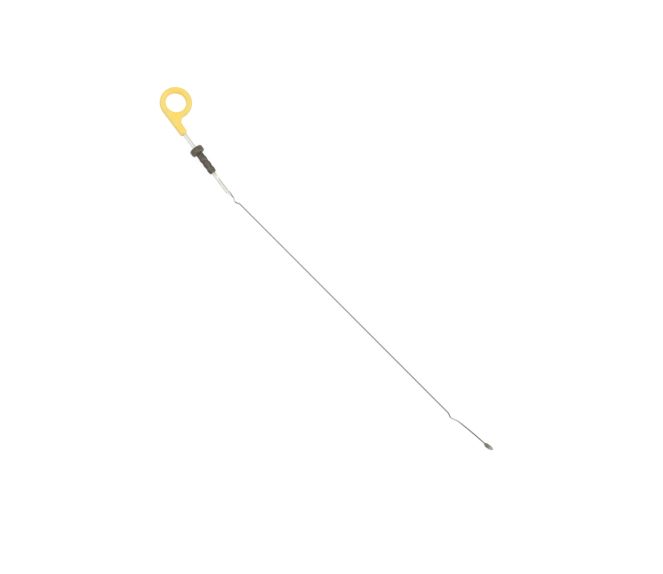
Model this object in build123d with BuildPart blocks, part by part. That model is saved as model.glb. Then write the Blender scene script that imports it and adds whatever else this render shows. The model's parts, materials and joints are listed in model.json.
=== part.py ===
"""Engine oil dipstick: a ring handle, a rubber stopper, and a twisted and kinked steel blade.

All sizes are in millimetres. The pieces are drawn in the dipstick's own axes: X runs down the stem from
the stopper's seat towards the tip, Y points to the side that the ring stands off to, and Z is square to
the ring. They are then placed as they lie on a flat surface, with Z up from it.
"""

import math
import os

from build123d import *

os.makedirs("parts", exist_ok=True)

# Handle: one moulding, a finger ring that runs into a straight neck along one side
ring_hole_d = 22.0
ring_wall = 6.2
handle_thickness = 6.8
handle_edge_r = 2.1
neck_width = 8.2
neck_end_r = 3.2
ring_to_neck_end = 33.9
crotch_r = 7.0

# Strip: one length of spring steel, from inside the handle to the tip
strip_width = 4.2
strip_thickness = 1.15
strip_edge_r = 0.25
strip_in_handle = 19.0
anchor_d = 1.8
anchor_to_strip_end = 4.5
moulded_gap = 0.01

# Stopper: a rubber cap with a ribbed plug that seals in the tube
bare_strip = 18.4
cap_d = 14.5
cap_thickness = 7.2
cap_top_r = 2.1
cap_rim_r = 1.6
plug_d = 7.4
plug_end_r = 0.6
rib_height = 0.4
rib_count = 3
rib_pitch = 6.95
rib_land = 1.6
rib_base = 5.4
rib_round = 1.2
seat_to_first_rib = 7.6
last_rib_to_end = 1.1

# Upper twist: the strip turns on edge, about a line just inside one of its edges
seat_to_twist = 46.6
twist_length = 12.8
twist_turn = 106.0
twist_axis_inset = 0.8
twist_sections = 11

# Blade on edge: straight runs, each with its heading in degrees towards the ring's side
twist_lead = 0.7
kink_r = 1.2
first_kink_out_heading = -20.9
first_kink_out_length = 4.5
first_kink_back_heading = 30.2
first_kink_back_length = 5.75
long_run_heading = 8.0
long_run_length = 311.0
second_kink_out_heading = -13.8
second_kink_out_length = 5.15
second_kink_back_heading = 29.2
second_kink_back_length = 8.35
last_run_heading = 15.0
last_lead_length = 2.0
last_run_length = 32.8
last_run_r = 480.0
run_steps = 1500

# Measuring end: two level holes, a twist about a line off the strip's middle, then a flat rounded leaf
level_hole_d = 1.4
level_hole_spacing = 20.0
low_hole_to_twist = 5.0
tip_twist_length = 6.3
tip_twist_turn = -90.0
tip_twist_offset = 0.3
leaf_bend = 8.0
leaf_length = 5.9
leaf_end_length = 5.2
leaf_end_bulge = 0.1

# Sizes that follow from these
ring_d = ring_hole_d + 2 * ring_wall
rib_d = plug_d + 2 * rib_height
rib_centres = [seat_to_first_rib + i * rib_pitch for i in range(rib_count)]
plug_length = rib_centres[-1] + rib_base / 2 + last_rib_to_end
leaf_bend_r = tip_twist_length / math.radians(leaf_bend)

# Places along the stem
cap_top_x = -cap_thickness
neck_end_x = cap_top_x - bare_strip
strip_top_x = neck_end_x - strip_in_handle
twist_end_x = seat_to_twist + twist_length
ring_centre = Vector(neck_end_x - ring_to_neck_end, ring_d / 2 - neck_width / 2, 0)
twist_axis_y = strip_width / 2 - twist_axis_inset


def eased(share):
    """Goes from 0 to 1 with a soft start and a soft end."""
    return share * share * (3 - 2 * share)


def turned(angle):
    """The direction across the strip's width after it has turned by this angle."""
    return Vector(0, math.cos(math.radians(angle)), math.sin(math.radians(angle)))


# The on-edge blade bends within one plane, square to the strip's width
run_origin = Vector(twist_end_x, twist_axis_y, 0) - turned(twist_turn) * twist_axis_y
run_plane = Plane(origin=run_origin, x_dir=(1, 0, 0), z_dir=turned(twist_turn))

straight_runs = [
    (0, twist_lead),
    (first_kink_out_heading, first_kink_out_length),
    (first_kink_back_heading, first_kink_back_length),
    (long_run_heading, long_run_length),
    (second_kink_out_heading, second_kink_out_length),
    (second_kink_back_heading, second_kink_back_length),
    (last_run_heading, last_lead_length),
]
run_corners = [Vector(0, 0)]
for heading, length in straight_runs:
    run_corners.append(run_corners[-1] + Vector(length, 0).rotate(Axis.Z, heading))

with BuildLine(Plane.XY) as blade_run:
    kinked_run = FilletPolyline(*run_corners, radius=kink_r)
    last_run = JernArc(
        start=kinked_run @ 1,
        tangent=kinked_run % 1,
        radius=last_run_r,
        arc_size=-math.degrees(last_run_length / last_run_r),
    )

run = blade_run.wire()

# The tip's line goes on from there, and bends back a little while the strip turns flat
with BuildLine(Plane.XY):
    tip_line = JernArc(start=last_run @ 1, tangent=last_run % 1, radius=leaf_bend_r, arc_size=leaf_bend)

leaf_direction = tip_line % 1
leaf_end = run_plane.from_local_coords((tip_line @ 1) + leaf_direction * leaf_length)
leaf_round_centre = run_plane.from_local_coords(
    (tip_line @ 1) + leaf_direction * (leaf_length - leaf_end_length)
)

# The blade's lower edge, as points on the middle lines of the two small edge roundings
lower_edge = []
for i in range(run_steps + 1):
    share = i / run_steps
    for side in (-1, 1):
        sideways = (run % share).rotate(Axis.Z, 90) * (side * (strip_thickness / 2 - strip_edge_r))
        edge_point = (run @ share) + sideways - Vector(0, 0, strip_width / 2 - strip_edge_r)
        lower_edge.append(run_plane.from_local_coords(edge_point))


def lowest_on_circle(centre, axis, radius, up):
    """The lowest point of a circle, for a given up direction."""
    down = axis * up.dot(axis) - up
    return centre + down.normalized() * radius


# The dipstick lies on three points: the cap's rim, the ring's far edge and the blade's lower edge
stem = Vector(1, 0, 0)
ring_axis = Vector(0, 0, 1)
ring_edge_centre = ring_centre - ring_axis * (handle_thickness / 2 - handle_edge_r)
up = Vector(0, -0.1, 1).normalized()
for _ in range(12):
    cap_foot = lowest_on_circle(Vector(-cap_rim_r, 0, 0), stem, cap_d / 2, up)
    ring_edge = lowest_on_circle(ring_edge_centre, ring_axis, ring_d / 2 - handle_edge_r, up)
    ring_foot = ring_edge - up * handle_edge_r
    blade_foot = min(lower_edge, key=lambda point: point.dot(up)) - up * strip_edge_r
    up = (blade_foot - cap_foot).cross(ring_foot - cap_foot).normalized()

# The origin is on that surface, under the middle of the dipstick's length and breadth
along = (stem - up * stem.dot(up)).normalized()
across = up.cross(along)
middle_along = (ring_centre.dot(along) - ring_d / 2 + leaf_end.dot(along)) / 2
leaf_reach = math.hypot((leaf_end - leaf_round_centre).dot(across), strip_width / 2)
middle_across = (leaf_round_centre.dot(across) + leaf_reach - cap_d / 2) / 2
floor_origin = along * middle_along + across * middle_across + up * cap_foot.dot(up)
at_rest = Plane(origin=floor_origin, x_dir=along, z_dir=up).location.inverse()


def laid(plane):
    """A plane of the dipstick's own axes, as it lies at rest."""
    return Plane(at_rest * plane.location)


def across_stem(x):
    """The plane square to the stem at x, with its own x across the strip's width."""
    return Plane(origin=(x, 0, 0), x_dir=(0, 1, 0), z_dir=(1, 0, 0))


# Handle
ring_axis_laid = Axis(laid(Plane.XY).origin, laid(Plane.XY).z_dir)

with BuildPart() as handle:
    with BuildSketch(laid(Plane.XY)) as outline:
        with BuildLine():
            reach = neck_width / 2 - ring_centre.Y
            crotch_angle = math.degrees(math.asin(reach / (ring_d / 2)))
            around_ring = CenterArc(ring_centre, ring_d / 2, crotch_angle, 270 - crotch_angle)
            Polyline(
                around_ring @ 1,
                (neck_end_x, -neck_width / 2),
                (neck_end_x, neck_width / 2),
                around_ring @ 0,
            )
        make_face()
        fillet(outline.vertices().group_by(Axis.X)[-2], crotch_r)
        fillet(outline.vertices().group_by(Axis.X)[-1], neck_end_r)
        with Locations(ring_centre):
            Circle(ring_hole_d / 2, mode=Mode.SUBTRACT)
    extrude(amount=handle_thickness / 2, both=True)
    fillet(handle.faces().filter_by(ring_axis_laid).edges(), handle_edge_r)
    with BuildSketch(laid(across_stem(neck_end_x))):
        RectangleRounded(
            strip_width + 2 * moulded_gap, strip_thickness + 2 * moulded_gap, strip_edge_r + moulded_gap
        )
    extrude(amount=-strip_in_handle, mode=Mode.SUBTRACT)
    with BuildSketch(laid(Plane.XY)):
        with Locations((strip_top_x + anchor_to_strip_end, 0)):
            Circle(anchor_d / 2)
    extrude(amount=strip_thickness, both=True)

# Stopper
with BuildPart() as stopper:
    with BuildSketch(laid(Plane.XY)) as half_section:
        with BuildLine():
            corners = [(cap_top_x, 0), (cap_top_x, cap_d / 2), (0, cap_d / 2), (0, plug_d / 2)]
            for centre in rib_centres:
                corners.append((centre - rib_base / 2, plug_d / 2))
                corners.append((centre - rib_land / 2, rib_d / 2))
                corners.append((centre + rib_land / 2, rib_d / 2))
                corners.append((centre + rib_base / 2, plug_d / 2))
            corners.append((plug_length, plug_d / 2))
            corners.append((plug_length, 0))
            Polyline(*corners, close=True)
        make_face()
        rib_corners = half_section.vertices().filter_by_position(
            Axis.X, 0, plug_length, inclusive=(False, False)
        )
        fillet(rib_corners, rib_round)
        fillet(half_section.vertices().group_by(Axis.Y)[-1].sort_by(Axis.X)[0], cap_top_r)
        fillet(half_section.vertices().group_by(Axis.Y)[-1].sort_by(Axis.X)[-1], cap_rim_r)
        fillet(half_section.vertices().group_by(Axis.X)[-1].sort_by(Axis.Y)[-1], plug_end_r)
    revolve(axis=Axis(laid(Plane.XY).origin, laid(Plane.XY).x_dir))
    with BuildSketch(laid(across_stem(cap_top_x))):
        RectangleRounded(
            strip_width + 2 * moulded_gap, strip_thickness + 2 * moulded_gap, strip_edge_r + moulded_gap
        )
    extrude(amount=cap_thickness + plug_length, mode=Mode.SUBTRACT)

# Blade
def across_tip(share):
    """The plane square to the tip's line, this share of the way through the twist at the tip."""
    twist_point = (tip_line @ share) + Vector(0, 0, tip_twist_offset)
    origin = run_plane.from_local_coords(twist_point)
    direction = run_plane.from_local_coords(twist_point + (tip_line % share)) - origin
    width = turned(twist_turn).rotate(Axis((0, 0, 0), direction), tip_twist_turn * eased(share))
    return Plane(origin=origin, x_dir=width, z_dir=direction)


with BuildPart() as blade:
    # Flat run through the handle and the stopper
    with BuildSketch(laid(across_stem(strip_top_x))):
        RectangleRounded(strip_width, strip_thickness, strip_edge_r)
    extrude(amount=seat_to_twist - strip_top_x)
    with BuildSketch(laid(Plane.XY)):
        with Locations((strip_top_x + anchor_to_strip_end, 0)):
            Circle(anchor_d / 2 + moulded_gap)
    extrude(amount=strip_thickness, both=True, mode=Mode.SUBTRACT)

    # Upper twist
    for i in range(twist_sections):
        share = i / (twist_sections - 1)
        origin = (seat_to_twist + twist_length * share, twist_axis_y, 0)
        section_plane = Plane(origin=origin, x_dir=turned(twist_turn * eased(share)), z_dir=(1, 0, 0))
        with BuildSketch(laid(section_plane)):
            with Locations((-twist_axis_y, 0)):
                RectangleRounded(strip_width, strip_thickness, strip_edge_r)
    loft()

    # On-edge runs and kinks
    with BuildSketch(laid(Plane(origin=run_origin, x_dir=turned(twist_turn), z_dir=(1, 0, 0)))):
        RectangleRounded(strip_width, strip_thickness, strip_edge_r)
    sweep(path=laid(run_plane).location * run)

    # Twist at the tip
    for i in range(twist_sections):
        with BuildSketch(laid(across_tip(i / (twist_sections - 1)))):
            with Locations((-tip_twist_offset, 0)):
                RectangleRounded(strip_width, strip_thickness, strip_edge_r)
    loft()

    # Leaf, with its end cut to a long round
    leaf_start = across_tip(1)
    with BuildSketch(laid(leaf_start)):
        with Locations((-tip_twist_offset, 0)):
            RectangleRounded(strip_width, strip_thickness, strip_edge_r)
    extrude(amount=leaf_length)
    with BuildSketch(laid(Plane(origin=leaf_start.origin, x_dir=leaf_start.z_dir, z_dir=leaf_start.y_dir))):
        with Locations((leaf_length, -tip_twist_offset)):
            Rectangle(2 * leaf_end_length, 2 * strip_width)
        with Locations((leaf_length - leaf_end_length, -tip_twist_offset)):
            Ellipse(leaf_end_length, strip_width / 2 + leaf_end_bulge, mode=Mode.SUBTRACT)
    extrude(amount=strip_thickness, both=True, mode=Mode.SUBTRACT)

    # Level holes through the wide face
    for distance in (low_hole_to_twist, low_hole_to_twist + level_hole_spacing):
        share = 1 - distance / last_run_length
        hole_origin = run_plane.from_local_coords(last_run @ share)
        hole_axis = run_plane.from_local_coords((last_run @ share) + (last_run % share).rotate(Axis.Z, 90))
        with BuildSketch(laid(Plane(origin=hole_origin, z_dir=hole_axis - hole_origin))):
            Circle(level_hole_d / 2)
        extrude(amount=strip_thickness, both=True, mode=Mode.SUBTRACT)

handle.part.label = "handle"
stopper.part.label = "stopper"
blade.part.label = "blade"

export_step(handle.part, "parts/handle.step")
export_step(stopper.part, "parts/stopper.step")
export_step(blade.part, "parts/blade.step")

print("seat centre", laid(Plane.XY).origin)
print("stem direction", laid(Plane.XY).x_dir)
print("ring axis", laid(Plane.XY).z_dir)
print("ring centre", laid(Plane(origin=ring_centre)).origin)
print("ribs from", rib_centres[0] - rib_land / 2, "to", rib_centres[-1] + rib_land / 2)
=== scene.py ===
import json
import math

import bpy
from mathutils import Matrix, Vector

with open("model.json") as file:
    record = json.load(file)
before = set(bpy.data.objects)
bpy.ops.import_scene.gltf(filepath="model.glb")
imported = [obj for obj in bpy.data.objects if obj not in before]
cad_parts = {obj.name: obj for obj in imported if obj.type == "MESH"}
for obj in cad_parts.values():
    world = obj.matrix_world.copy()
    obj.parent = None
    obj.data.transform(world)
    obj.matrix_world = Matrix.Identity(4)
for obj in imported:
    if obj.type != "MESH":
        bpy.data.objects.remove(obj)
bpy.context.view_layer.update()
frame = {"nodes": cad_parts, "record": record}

MM = 1000.0
UP = Vector((0.0, 0.0, 1.0))

# The dipstick's own axes as it lies: down the stem, to the ring's side, and square to the ring. The stem's
# axis is the plug's, and it meets the seat's plane at SEAT (metres).
MOUNTS = {mount["name"]: mount for mount in frame["record"]["mounts"]}
STEM = Vector(MOUNTS["plug"]["axis"])
PLUG = Vector(MOUNTS["plug"]["pos_m"])
SEAT = PLUG + STEM * STEM.dot(Vector(MOUNTS["seat"]["pos_m"]) - PLUG)
RING_AXIS = Vector((0.020267, 0.178923, 0.983654))
SIDE = RING_AXIS.cross(STEM)
RING_CENTRE = Vector((-0.238701, -0.0139979, 0.0060978))

# Below, a fade is (where a mark is absent, where it is full), a band is (centre, half width, soft edge) and
# a stretch is (start, full from, full to, end), all in millimetres. A fade named FACING goes by the cosine
# of the angle between the surface's normal and an axis.

# The handle's outline, in the ring's plane from the ring's centre
HOLE_RADIUS = 11.0
RING_RADIUS = 17.2
NECK_LINE = -13.1
NECK_HALF = 4.1
NECK_END = 33.9
CROTCH_RADIUS = 7.0
CROTCH_SIDE = NECK_LINE + NECK_HALF + CROTCH_RADIUS
CROTCH_CENTRE = (math.sqrt((RING_RADIUS + CROTCH_RADIUS) ** 2 - CROTCH_SIDE ** 2), CROTCH_SIDE, 0.0)
CROTCH_CORNER = (15.5, -7.0, 0.0)
OUTLINE_SOFTNESS = 2.0

# The handle's looks: painted shade on the rim by its depth in the outline, a painted lightening of the
# hole's wall and painted warm bounce light by radius, and painted deeper orange shade between the ring and
# the neck
RIM_SHADE_FADE = (3.0, 1.0)
RIM_SHADE_FACING = (0.05, 0.45)
WALL_FADE = (12.6, 11.8)
WALL_FACING = (0.85, 0.45)
WARM_BOUNCE_FADE = (15.5, 13.5)
JUNCTION_SHADE_PLACE = (12.0, -7.8, 0.0)
JUNCTION_SHADE_FADE = (6.5, 2.5)
FAR_SIDE = (-0.8, 0.6, 0.0)
FAR_FADE = (6.0, 12.0)
FAR_RIM_RELIEF = 2.5
SCUFF_SQUEEZE = (0.9, 0.16, 0.9)
HANDLE_SEAM = (0.0, 0.035, 0.05)

# The stopper's looks, by radius, along the stem from the seat, and across it to the ring's side
RIB_RUB_RADIUS = (3.8, 4.12)
RIB_RUB_ALONG = (1.0, 3.0)
CAP_RUB_RADIUS = (5.0, 6.8)
CAP_RUB_ALONG = (-3.5, -0.5)
GREY_TOP_ALONG = (-1.8, -3.6)
GREY_TOP_ACROSS = (-4.0, 0.0)
OILY_BAND = (-0.3, 1.2, 2.6)
# Painted shade on the plug's sides: a middle line across the plug, and its fades across and along it
SIDE_SHADE_MIDDLE = -0.7
SIDE_SHADE_ACROSS = (1.8, 2.85)
SIDE_SHADE_ALONG = (0.5, 2.0)
STOPPER_SEAM = (0.0, 0.04, 0.05)

# The strip's upper twist, along the stem from the seat, about a line off its middle
TWIST_START = 46.6
TWIST_END = 59.4
TWIST_TURN = math.radians(106.0)
TWIST_LINE = 1.3

# The strip's looks, along the stem from the seat: its faces, two lines of painted shade and a painted
# highlight along a rim
TWIST_FACE_FADE = (48.5, 53.0)
RUN_FACE_FADE = (53.5, 60.0)
LEFT_LINE = (-1.6, 0.2, 0.45)
LEFT_LINE_FADE = (52.5, 50.5)
RIGHT_LINE = (0.82, 0.25, 0.4)
RIGHT_LINE_FADE = (55.0, 51.5)
RIGHT_HIGHLIGHT = (1.2, 1.5)
RIGHT_HIGHLIGHT_FADE = (60.0, 54.0)
LINES_STRONGER = (31.0, 38.0)
LEFT_LINE_STRONGEST = (44.0, 49.0)
HIGHLIGHT_STRONGER = (5.0, 31.0)
OIL_STRETCH = (20.0, 25.0, 27.0, 30.5)

# Rolling lines are drawn out along the strip and close together across it
LINE_ALONG = 0.03
LINE_ACROSS = 3.2

# The two edges' looks, along the stem from the seat, with the two bends where the cut edge has a painted
# highlight
CUT_EDGE_FACING = (0.1, 0.6)
ROLLED_EDGE_FACING = (-0.1, -0.6)
EDGE_DARKER = (90.0, 380.0)
DARK_BEFORE_BEND = (380.2, 1.2, 1.4)
FIRST_BEND = (59.6, 60.6, 64.0, 65.0)
SECOND_BEND = (382.0, 383.0, 386.5, 395.5)

# The twist at the tip, which lays the strip flat again in a leaf (its place and axes in metres)
TIP_ORIGIN = Vector((0.2442489, 0.0295521, 0.0027537))
TIP_DIRECTION = Vector((0.98153, 0.19131, -0.00115))
TIP_WIDTH = Vector((0.0205, -0.0992, 0.99486))
TIP_SIDE = TIP_DIRECTION.cross(TIP_WIDTH)
TIP_TWIST = 6.3
TIP_TURN = math.radians(-90.0)

# The tip's looks, along it from the start of its twist: a darker edge before it, and the leaf's darker
# brown-grey
TIP_EDGE_FADE = (-34.0, -8.0)
TIP_TONE_FADE = (-6.0, 2.0)
PALE_END_FADE = (5.5, 9.5)
DARK_SIDE_END = (9.5, 6.0)
DARK_SIDE_FADE = (0.4, 1.5)
DARK_SIDE_PIVOT = 3.0
DARK_SIDE_SLOPE = 0.13


def srgb(red, green, blue):
    """A linear colour from 0-255 display values."""
    def linear(value):
        value = value / 255.0
        return value / 12.92 if value <= 0.04045 else ((value + 0.055) / 1.055) ** 2.4
    return (linear(red), linear(green), linear(blue), 1.0)


# Marks on the strip below the plug: a painted glint, a dull spot, and a rusty tinge where the twist starts,
# each as its band along the stem, its fade across the strip, its strength and its colour
STRIP_SPOTS = (
    # The painted glint, a painted highlight
    ((32.0, 0.8, 2.0), (0.2, 0.9), 0.7, srgb(253, 253, 250)),
    ((38.3, 1.2, 2.2), (-0.9, -1.5), 0.7, srgb(186, 185, 179)),
    ((49.3, 0.6, 1.8), (-0.4, -1.4), 0.5, srgb(206, 196, 176)),
)


class Shader:
    """A material or world node tree, with short names for the nodes that are used most."""

    def __init__(self, tree):
        self.tree = tree
        tree.nodes.clear()

    def fill(self, socket, value):
        if isinstance(value, bpy.types.NodeSocket):
            self.tree.links.new(value, socket)
        else:
            socket.default_value = value

    def node(self, kind, inputs=None, **settings):
        node = self.tree.nodes.new(kind)
        for key, value in settings.items():
            setattr(node, key, value)
        for key, value in (inputs or {}).items():
            self.fill(node.inputs[key], value)
        return node

    def math(self, operation, *values):
        return self.node("ShaderNodeMath", dict(enumerate(values)), operation=operation).outputs[0]

    def both(self, first, second):
        """A mask that is full where both masks are, or a mask at a strength."""
        return self.math("MULTIPLY", first, second)

    def vector(self, operation, *values):
        node = self.node("ShaderNodeVectorMath", dict(enumerate(values)), operation=operation)
        return node.outputs["Value" if operation in ("DOT_PRODUCT", "LENGTH") else "Vector"]

    def distance(self, first, second):
        return self.vector("LENGTH", self.vector("SUBTRACT", first, second))

    def scaled(self, vector, factor):
        node = self.node("ShaderNodeVectorMath", {0: vector, "Scale": factor}, operation="SCALE")
        return node.outputs["Vector"]

    def combined(self, x=0.0, y=0.0, z=0.0):
        return self.node("ShaderNodeCombineXYZ", {0: x, 1: y, 2: z}).outputs[0]

    def turned(self, first, second, angle):
        """The direction at an angle from the first towards the second."""
        return self.vector("ADD", self.scaled(tuple(first), self.math("COSINE", angle)),
                           self.scaled(tuple(second), self.math("SINE", angle)))

    def ramp(self, value, low, high, to_low=0.0, to_high=1.0):
        inputs = {"Value": value, "From Min": low, "From Max": high, "To Min": to_low, "To Max": to_high}
        return self.node("ShaderNodeMapRange", inputs, interpolation_type="SMOOTHSTEP").outputs["Result"]

    def band(self, value, centre, half, soft):
        """1 within half of centre, falling to 0 over soft."""
        away = self.math("ABSOLUTE", self.math("SUBTRACT", value, centre))
        return self.ramp(away, half, half + soft, 1.0, 0.0)

    def stretch(self, value, start, full_from, full_to, end):
        """1 between the inner two places, falling to 0 at the outer two."""
        return self.both(self.ramp(value, start, full_from), self.ramp(value, end, full_to))

    def noise(self, vector, scale, detail=3.0, roughness=0.55):
        """Noise about 0.5, with the scale for one unit of the vector."""
        inputs = {"Vector": vector, "Scale": scale, "Detail": detail, "Roughness": roughness}
        return self.node("ShaderNodeTexNoise", inputs).outputs["Fac"]

    def mix(self, factor, first, second):
        node = self.node("ShaderNodeMix", data_type="RGBA")
        for index, value in ((0, factor), (6, first), (7, second)):
            self.fill(node.inputs[index], value)
        return node.outputs[2]

    def tint(self, colour, mask, strength, second):
        """The colour with a second one over it, where the mask is and at a strength."""
        return self.mix(self.both(mask, strength), colour, second)

    def bump(self, height, strength, distance):
        inputs = {"Height": height, "Strength": strength, "Distance": distance}
        return self.node("ShaderNodeBump", inputs).outputs["Normal"]

    def local(self, origin):
        """Position in millimetres in the dipstick's own axes, as a vector and its three parts."""
        place = self.node("ShaderNodeTexCoord").outputs["Object"]
        offset = self.vector("SUBTRACT", place, tuple(origin))
        parts = [self.math("MULTIPLY", self.vector("DOT_PRODUCT", offset, tuple(axis)), MM)
                 for axis in (STEM, SIDE, RING_AXIS)]
        return self.combined(*parts), parts

    def surface(self, **inputs):
        shader = self.node("ShaderNodeBsdfPrincipled", inputs)
        self.node("ShaderNodeOutputMaterial", {"Surface": shader.outputs[0]})


def new_material(name):
    material = bpy.data.materials.new(name)
    material.use_nodes = True
    return material, Shader(material.node_tree)


def depth_in_handle(s, flat, radius, x, y):
    """Distance in from the handle's outer outline: of the ring, the neck or the round between them."""
    from_neck_line = s.math("ABSOLUTE", s.math("SUBTRACT", y, NECK_LINE))
    in_neck = s.math("MINIMUM", s.math("SUBTRACT", NECK_HALF, from_neck_line), x)
    out_of_round = s.math("SUBTRACT", s.distance(flat, CROTCH_CENTRE), CROTCH_RADIUS)
    near_corner = s.math("SUBTRACT", CROTCH_RADIUS, s.distance(flat, CROTCH_CORNER))
    in_crotch = s.math("MINIMUM", out_of_round, near_corner)
    in_ring = s.math("SUBTRACT", RING_RADIUS, radius)
    inside = s.math("SMOOTH_MAX", in_ring, in_neck, OUTLINE_SOFTNESS)
    inside = s.math("SMOOTH_MAX", inside, in_crotch, OUTLINE_SOFTNESS)
    return s.math("MINIMUM", inside, s.math("SUBTRACT", NECK_END, x))


def handle_plastic():
    """Yellow plastic with painted shade on its rim and by the neck, painted warm bounce light and a painted
    lightening in the hole, a moulding seam, scuffs and grain.
    """
    material, s = new_material("handle_plastic")
    place, (x, y, z) = s.local(RING_CENTRE)
    normal = s.node("ShaderNodeTexCoord").outputs["Normal"]
    facing = s.math("ABSOLUTE", s.vector("DOT_PRODUCT", normal, tuple(RING_AXIS)))
    flat = s.combined(x, y)
    radius = s.vector("LENGTH", flat)
    # On the side away from the neck the ring's inner rim is spared the painted shade and is as bright as
    # its face, and the painted warm bounce light falls there
    far_side = s.ramp(s.vector("DOT_PRODUCT", flat, FAR_SIDE), *FAR_FADE)
    relief = s.math("MULTIPLY", far_side, FAR_RIM_RELIEF)
    from_hole = s.math("ADD", s.math("SUBTRACT", radius, HOLE_RADIUS), relief)
    inside = s.math("MINIMUM", depth_in_handle(s, flat, radius, x, y), from_hole)
    rim_shade = s.both(s.ramp(inside, *RIM_SHADE_FADE), s.ramp(facing, *RIM_SHADE_FACING, to_low=0.5))
    hole_wall_light = s.both(s.ramp(facing, *WALL_FACING), s.ramp(radius, *WALL_FADE))
    warm_bounce = s.both(far_side, s.ramp(radius, *WARM_BOUNCE_FADE))
    junction_shade = s.ramp(s.distance(flat, JUNCTION_SHADE_PLACE), *JUNCTION_SHADE_FADE)
    flow = s.noise(place, scale=0.11, detail=4.0)
    grain = s.noise(place, scale=2.6, detail=3.0, roughness=0.6)
    scuff = s.noise(s.vector("MULTIPLY", place, SCUFF_SQUEEZE), scale=1.3, detail=5.0)
    seam = s.band(z, *HANDLE_SEAM)
    colour = s.mix(s.ramp(flow, 0.35, 0.68), srgb(254, 222, 114), srgb(253, 215, 100))
    # Painted warm bounce light inside the ring, on the side away from the neck
    colour = s.tint(colour, warm_bounce, 0.8, srgb(255, 211, 90))
    # Painted shade on the handle's rim
    colour = s.tint(colour, rim_shade, 0.75, srgb(236, 217, 126))
    # Painted deeper orange shade where the ring meets the neck
    colour = s.tint(colour, junction_shade, 0.8, srgb(254, 220, 94))
    # Painted lightening of the hole's wall
    colour = s.tint(colour, hole_wall_light, 0.85, srgb(255, 230, 114))
    colour = s.tint(colour, s.ramp(scuff, 0.62, 0.78), 0.35, srgb(255, 228, 140))
    colour = s.tint(colour, seam, 0.35, srgb(214, 166, 60))
    rough = s.math("ADD", s.ramp(scuff, 0.45, 0.8, 0.36, 0.52), s.ramp(grain, 0.3, 0.7, -0.03, 0.03))
    height = s.math("ADD", s.math("MULTIPLY", grain, 0.4), seam)
    s.surface(**{"Base Color": colour, "Roughness": rough, "IOR": 1.47,
                 "Normal": s.bump(height, strength=0.35, distance=0.00005)})
    return material


def stopper_rubber():
    """Dark rubber with grime in patches with grainy edges, dust in fine specks over it, and painted shade
    on the plug's sides.
    """
    material, s = new_material("stopper_rubber")
    place, (x, y, z) = s.local(SEAT)
    radius = s.vector("LENGTH", s.combined(y, z))
    cloud = s.noise(place, scale=0.35, detail=4.0)
    grain = s.noise(place, scale=4.2, detail=4.0, roughness=0.65)
    patch = s.noise(place, scale=0.5, detail=2.0, roughness=0.5)
    speck = s.noise(place, scale=7.5, detail=2.0, roughness=0.7)
    grime = s.math("ADD", s.math("MULTIPLY", patch, 0.72), s.math("MULTIPLY", grain, 0.28))
    dust = s.both(s.ramp(speck, 0.54, 0.62), s.ramp(cloud, 0.3, 0.6, to_low=0.35))
    # The ribs and the cap's rim are rubbed
    rib_rub = s.both(s.ramp(radius, *RIB_RUB_RADIUS), s.ramp(x, *RIB_RUB_ALONG))
    cap_rub = s.both(s.ramp(radius, *CAP_RUB_RADIUS), s.ramp(x, *CAP_RUB_ALONG))
    rub = s.math("MAXIMUM", rib_rub, cap_rub)
    # The cap's top is greyer, an oily film lies round the seat, and painted shade darkens the plug's sides
    grey_top = s.both(s.ramp(x, *GREY_TOP_ALONG), s.ramp(y, *GREY_TOP_ACROSS))
    oily = s.band(x, *OILY_BAND)
    from_middle = s.math("ABSOLUTE", s.math("SUBTRACT", y, SIDE_SHADE_MIDDLE))
    side_shade = s.both(s.ramp(from_middle, *SIDE_SHADE_ACROSS), s.ramp(x, *SIDE_SHADE_ALONG))
    seam = s.band(z, *STOPPER_SEAM)
    colour = s.mix(s.ramp(cloud, 0.3, 0.7), srgb(71, 63, 51), srgb(88, 80, 67))
    colour = s.tint(colour, grey_top, 0.85, srgb(74, 71, 68))
    colour = s.tint(colour, oily, 0.8, srgb(78, 70, 47))
    colour = s.tint(colour, s.ramp(grime, 0.5, 0.4), 0.8, srgb(51, 43, 33))
    colour = s.tint(colour, s.ramp(grime, 0.5, 0.62), 0.75, srgb(122, 114, 100))
    colour = s.tint(colour, dust, 0.45, srgb(138, 130, 116))
    colour = s.tint(colour, rub, 0.45, srgb(108, 99, 87))
    colour = s.tint(colour, side_shade, 0.75, srgb(44, 36, 24))
    rough = s.math("SUBTRACT", s.ramp(grain, 0.3, 0.75, 0.42, 0.62), s.math("MULTIPLY", rub, 0.1))
    height = s.math("ADD", s.math("MULTIPLY", grain, 0.7), s.math("MULTIPLY", seam, 0.8))
    s.surface(**{"Base Color": colour, "Roughness": rough, "IOR": 1.5,
                 "Normal": s.bump(height, strength=0.45, distance=0.00006)})
    return material


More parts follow.
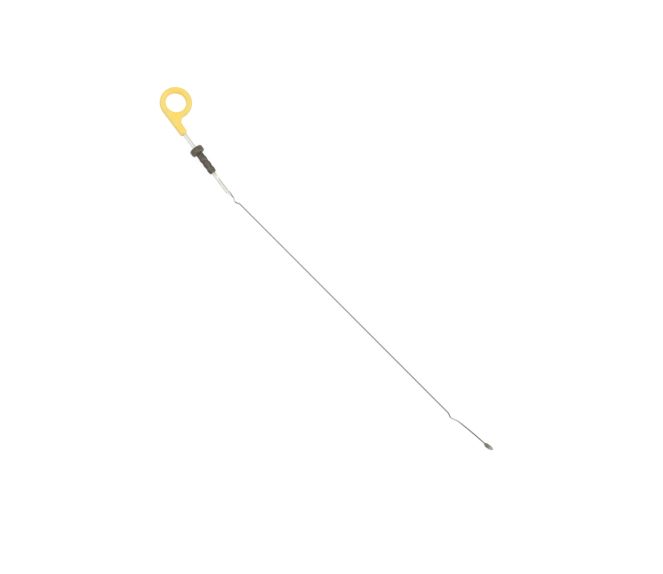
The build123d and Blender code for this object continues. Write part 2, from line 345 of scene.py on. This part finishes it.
def strip_faces(s, x, across, lines, mottle, before_tip):
    """The broad faces: bright by the stopper, paler in the twist with painted reflection and duller past it
    with painted shade, with lines of painted shade, painted highlights, an oil tint and spots.
    """
    upper = s.mix(s.ramp(lines, 0.35, 0.7), srgb(236, 235, 230), srgb(228, 227, 221))
    upper = s.tint(upper, s.ramp(mottle, 0.45, 0.75), 0.4, srgb(218, 216, 208))
    # Paler face in the twist: painted reflection
    twist_reflection = s.mix(s.ramp(lines, 0.35, 0.7), srgb(250, 249, 246), srgb(232, 231, 226))
    # Duller face past the twist: painted shade, for the darker reflection of a room
    run_shade = s.mix(s.ramp(lines, 0.3, 0.75), srgb(188, 188, 184), srgb(168, 168, 163))
    run_shade = s.tint(run_shade, s.ramp(mottle, 0.42, 0.7), 0.5, srgb(172, 169, 160))
    colour = s.mix(s.both(s.ramp(x, *TWIST_FACE_FADE), before_tip), upper, twist_reflection)
    colour = s.mix(s.ramp(x, *RUN_FACE_FADE), colour, run_shade)
    # Two lines of painted shade and a painted highlight along a rim, all stronger further down
    left_shade_line = s.both(s.band(across, *LEFT_LINE), s.ramp(x, *LEFT_LINE_FADE))
    right_shade_line = s.both(s.band(across, *RIGHT_LINE), s.ramp(x, *RIGHT_LINE_FADE))
    right_highlight = s.both(s.ramp(across, *RIGHT_HIGHLIGHT), s.ramp(x, *RIGHT_HIGHLIGHT_FADE))
    left_line_strength = s.math("ADD", s.ramp(x, *LINES_STRONGER, 0.5, 0.7), s.ramp(x, *LEFT_LINE_STRONGEST, 0.0, 0.3))
    right_line_strength = s.ramp(x, *LINES_STRONGER, 0.62, 1.0)
    highlight_strength = s.ramp(x, *HIGHLIGHT_STRONGER, 0.25, 0.9)
    colour = s.tint(colour, left_shade_line, left_line_strength, srgb(198, 197, 191))
    colour = s.tint(colour, right_shade_line, right_line_strength, srgb(168, 167, 160))
    # Painted highlight along the right rim
    colour = s.tint(colour, right_highlight, highlight_strength, srgb(248, 248, 245))
    colour = s.tint(colour, s.stretch(x, *OIL_STRETCH), 0.45, srgb(196, 188, 166))
    for along, side, strength, spot_colour in STRIP_SPOTS:
        spot = s.both(s.band(x, *along), s.ramp(across, *side))
        colour = s.tint(colour, spot, strength, spot_colour)
    return colour


def strip_cut_edge(s, x, along_tip, grain):
    """The cut edge: dark, darker towards the tip, and with a painted highlight in two bends."""
    colour = s.mix(s.ramp(grain, 0.3, 0.7), srgb(122, 121, 115), srgb(136, 135, 128))
    colour = s.tint(colour, s.ramp(x, *EDGE_DARKER), 0.6, srgb(100, 99, 94))
    colour = s.tint(colour, s.band(x, *DARK_BEFORE_BEND), 0.6, srgb(76, 75, 71))
    colour = s.tint(colour, s.ramp(along_tip, *TIP_EDGE_FADE), 0.9, srgb(72, 71, 68))
    # Painted highlights where the cut edge bends
    first_bend_highlight = s.both(s.stretch(x, *FIRST_BEND), 0.55)
    second_bend_highlight = s.both(s.stretch(x, *SECOND_BEND), 0.47)
    return s.mix(s.math("MAXIMUM", first_bend_highlight, second_bend_highlight), colour, srgb(226, 225, 219))


def tip_tone(s, from_tip, along_tip, mottle):
    """The tip's brown-grey: dark where the leaf starts and along one side of it, paler at its end."""
    off_tip_line = s.math("MULTIPLY", s.vector("DOT_PRODUCT", from_tip, tuple(TIP_SIDE)), MM)
    slant = s.math("MULTIPLY", s.math("SUBTRACT", along_tip, DARK_SIDE_PIVOT), DARK_SIDE_SLOPE)
    to_side = s.math("ADD", off_tip_line, slant)
    dark_side = s.both(s.ramp(to_side, *DARK_SIDE_FADE), s.ramp(along_tip, *DARK_SIDE_END))
    colour = s.mix(s.ramp(mottle, 0.35, 0.65), srgb(114, 106, 94), srgb(136, 127, 115))
    colour = s.mix(s.ramp(along_tip, *PALE_END_FADE), colour, srgb(166, 163, 157))
    return s.tint(colour, dark_side, 0.7, srgb(80, 73, 62))


def blade_steel():
    """Rolled steel with lines along the strip, a soft mottle, painted reflection, shade and highlights on
    its faces and cut edge, and a darker brown-grey tip.
    """
    material, s = new_material("blade_steel")
    place, (x, y, z) = s.local(SEAT)
    point = s.node("ShaderNodeTexCoord").outputs
    # Direction across the strip's width, which turns with both twists
    turn = s.ramp(x, TWIST_START, TWIST_END, 0.0, TWIST_TURN)
    from_tip = s.vector("SUBTRACT", point["Object"], tuple(TIP_ORIGIN))
    along_tip = s.math("MULTIPLY", s.vector("DOT_PRODUCT", from_tip, tuple(TIP_DIRECTION)), MM)
    tip_turn = s.ramp(along_tip, 0.0, TIP_TWIST, 0.0, TIP_TURN)
    on_tip = s.math("GREATER_THAN", along_tip, 0.0)
    before_tip = s.math("SUBTRACT", 1.0, on_tip)
    width = s.vector("ADD", s.scaled(s.turned(SIDE, RING_AXIS, turn), before_tip),
                     s.scaled(s.turned(TIP_WIDTH, TIP_SIDE, tip_turn), on_tip))
    facing = s.vector("DOT_PRODUCT", point["Normal"], width)
    cut_edge = s.ramp(facing, *CUT_EDGE_FACING)
    rolled_edge = s.ramp(facing, *ROLLED_EDGE_FACING)
    # Place across the width, from the strip's middle, down to the start of the tip's twist
    from_line = s.combined(y=s.math("SUBTRACT", y, TWIST_LINE), z=z)
    line_width = s.combined(y=s.math("COSINE", turn), z=s.math("SINE", turn))
    across = s.math("ADD", s.vector("DOT_PRODUCT", from_line, line_width), TWIST_LINE)
    drawn_out = s.combined(s.math("MULTIPLY", x, LINE_ALONG), s.math("MULTIPLY", across, LINE_ACROSS))
    lines = s.noise(drawn_out, scale=1.6, detail=4.0, roughness=0.6)
    mottle = s.noise(place, scale=0.22, detail=4.0)
    grain = s.noise(place, scale=5.0, detail=3.0)
    colour = strip_faces(s, x, across, lines, mottle, before_tip)
    colour = s.mix(rolled_edge, colour, srgb(192, 191, 185))
    colour = s.mix(cut_edge, colour, strip_cut_edge(s, x, along_tip, grain))
    tip_tone_colour = tip_tone(s, from_tip, along_tip, mottle)
    colour = s.tint(colour, s.ramp(along_tip, *TIP_TONE_FADE), 0.92, tip_tone_colour)
    rough = s.math("ADD", s.ramp(lines, 0.3, 0.75, 0.26, 0.4), s.math("MULTIPLY", cut_edge, 0.16))
    height = s.math("ADD", s.math("MULTIPLY", lines, 0.6), s.math("MULTIPLY", grain, 0.25))
    s.surface(**{"Base Color": colour, "Metallic": 1.0, "Roughness": rough,
                 "Normal": s.bump(height, strength=0.25, distance=0.00002)})
    return material


for node_name, make in (("handle", handle_plastic), ("stopper", stopper_rubber), ("blade", blade_steel)):
    node = frame["nodes"][node_name]
    node.data.materials.clear()
    node.data.materials.append(make())

# Pale floor just under the object, which shows white to the camera and in reflections and keeps its shadow
FLOOR_HALF = 4.0
FLOOR_DROP = 0.0001
WHITE = (1.0, 1.0, 1.0, 1.0)
SHADOW_GREY = (0.14, 0.14, 0.14, 1.0)
FLOOR_GLOW = 0.89
floor_mesh = bpy.data.meshes.new("floor")
floor_corners = [(-FLOOR_HALF, -FLOOR_HALF, 0.0), (FLOOR_HALF, -FLOOR_HALF, 0.0),
                 (FLOOR_HALF, FLOOR_HALF, 0.0), (-FLOOR_HALF, FLOOR_HALF, 0.0)]
floor_mesh.from_pydata(floor_corners, [], [(0, 1, 2, 3)])
floor = bpy.data.objects.new("floor", floor_mesh)
floor.location.z = -FLOOR_DROP
bpy.context.scene.collection.objects.link(floor)


def seen_directly(s):
    """1 for rays that show a background: from the camera, in a reflection or through glass."""
    path = s.node("ShaderNodeLightPath").outputs
    either = s.math("MAXIMUM", path["Is Camera Ray"], path["Is Glossy Ray"])
    return s.math("MAXIMUM", either, path["Is Transmission Ray"])


floor_material, fs = new_material("floor_paper")
paper_grain = fs.noise(fs.node("ShaderNodeTexCoord").outputs["Object"], scale=900.0, detail=2.0)
paper = fs.mix(paper_grain, srgb(236, 236, 236), srgb(242, 242, 242))
matte = fs.node("ShaderNodeBsdfDiffuse", {"Color": paper})
shadowed = fs.node("ShaderNodeBsdfDiffuse", {"Color": SHADOW_GREY})
glow = fs.node("ShaderNodeEmission", {"Color": WHITE, "Strength": FLOOR_GLOW})
bright = fs.node("ShaderNodeAddShader", {0: shadowed.outputs[0], 1: glow.outputs[0]})
floor_parts = {0: seen_directly(fs), 1: matte.outputs[0], 2: bright.outputs[0]}
floor_surface = fs.node("ShaderNodeMixShader", floor_parts)
fs.node("ShaderNodeOutputMaterial", {"Surface": floor_surface.outputs[0]})
floor_mesh.materials.append(floor_material)

# Soft white surroundings, white where they are seen and dimmer as a light
SKY_LIGHT = 0.74
SKY_SEEN = 1.0
world = bpy.data.worlds.new("studio")
bpy.context.scene.world = world
world.use_nodes = True
ws = Shader(world.node_tree)
sky_strength = ws.ramp(seen_directly(ws), 0.0, 1.0, SKY_LIGHT, SKY_SEEN)
sky = ws.node("ShaderNodeBackground", {"Color": WHITE, "Strength": sky_strength})
ws.node("ShaderNodeOutputWorld", {"Surface": sky.outputs[0]})

# Camera at the photograph's viewing angle, for an image of 663 by 574
AZIMUTH = math.radians(53.3908)
ELEVATION = math.radians(80.0)
DISTANCE = 2.8
TARGET = Vector((0.019096, 0.000132, 0.007))
FOCAL_PX = 2673.51
IMAGE_WIDTH = 663
SENSOR = 36.0
CLIP_END = 50.0
right = Vector((math.cos(AZIMUTH), math.sin(AZIMUTH), 0.0))
away = Vector((-math.sin(AZIMUTH), math.cos(AZIMUTH), 0.0))
look = away * math.cos(ELEVATION) - UP * math.sin(ELEVATION)
camera_data = bpy.data.cameras.new("camera")
camera_data.sensor_fit = "HORIZONTAL"
camera_data.sensor_width = SENSOR
camera_data.lens = SENSOR * FOCAL_PX / IMAGE_WIDTH
camera_data.clip_end = CLIP_END
camera = bpy.data.objects.new("camera", camera_data)
bpy.context.scene.collection.objects.link(camera)
camera_axes = Matrix((right, right.cross(look), -look)).transposed()
camera.matrix_world = Matrix.Translation(TARGET - look * DISTANCE) @ camera_axes.to_4x4()
bpy.context.scene.camera = camera


def softbox(name, to_right, to_back, height, size, power):
    """A square lamp that faces the object, placed from it as the camera sees it (metres, watts)."""
    place = TARGET + right * to_right + away * to_back + UP * height
    lamp = bpy.data.lights.new(name, "AREA")
    lamp.shape = "SQUARE"
    lamp.size = size
    lamp.energy = power
    lamp_object = bpy.data.objects.new(name, lamp)
    lamp_object.location = place
    lamp_object.rotation_euler = (TARGET - place).to_track_quat("-Z", "Y").to_euler()
    bpy.context.scene.collection.objects.link(lamp_object)


softbox("key_light", to_right=1.4, to_back=-0.2, height=1.3, size=1.4, power=9.0)
softbox("fill_light", to_right=-1.0, to_back=0.7, height=1.6, size=1.6, power=7.0)

bpy.context.scene.view_settings.view_transform = "Standard"
